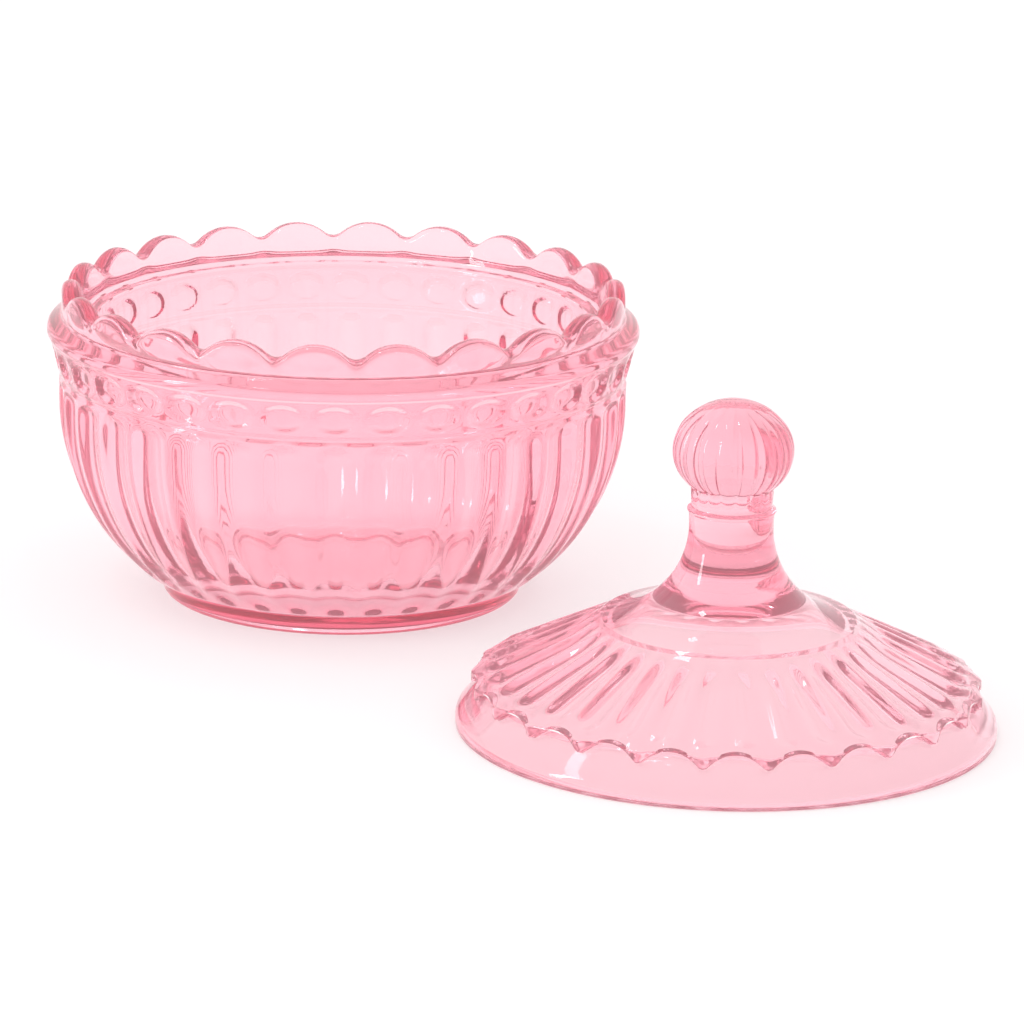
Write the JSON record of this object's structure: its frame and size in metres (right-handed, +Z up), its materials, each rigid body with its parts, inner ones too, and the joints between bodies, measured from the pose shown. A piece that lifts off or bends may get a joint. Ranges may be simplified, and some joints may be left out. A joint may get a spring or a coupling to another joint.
{
  "type": "covered candy dish",
  "caption": "Round pressed glass candy dish with a fluted wall, thumbprint band and scalloped gallery, and a domed fluted lid with a ball knob standing beside it.",
  "frame": {"origin": "on the bowl's axis, in the plane of the foot ring that it stands on", "axes": "+Z up along the bowl's axis, +X from the bowl's axis to the axis of the lid that stands beside it"},
  "size_m": [0.2849, 0.15, 0.08],
  "materials": {
    "pressed_pink_glass": "fire-polished, clear pink"
  },
  "bodies": {
    "bowl": {"bowl": "pressed_pink_glass"},
    "lid": {"lid": "pressed_pink_glass"}
  },
  "joints": [
    {"name": "lid_lift", "type": "slide", "parent": "bowl", "child": "lid", "axis": [0, 0, 1], "range_m": [0, 0.1]}
  ]
}
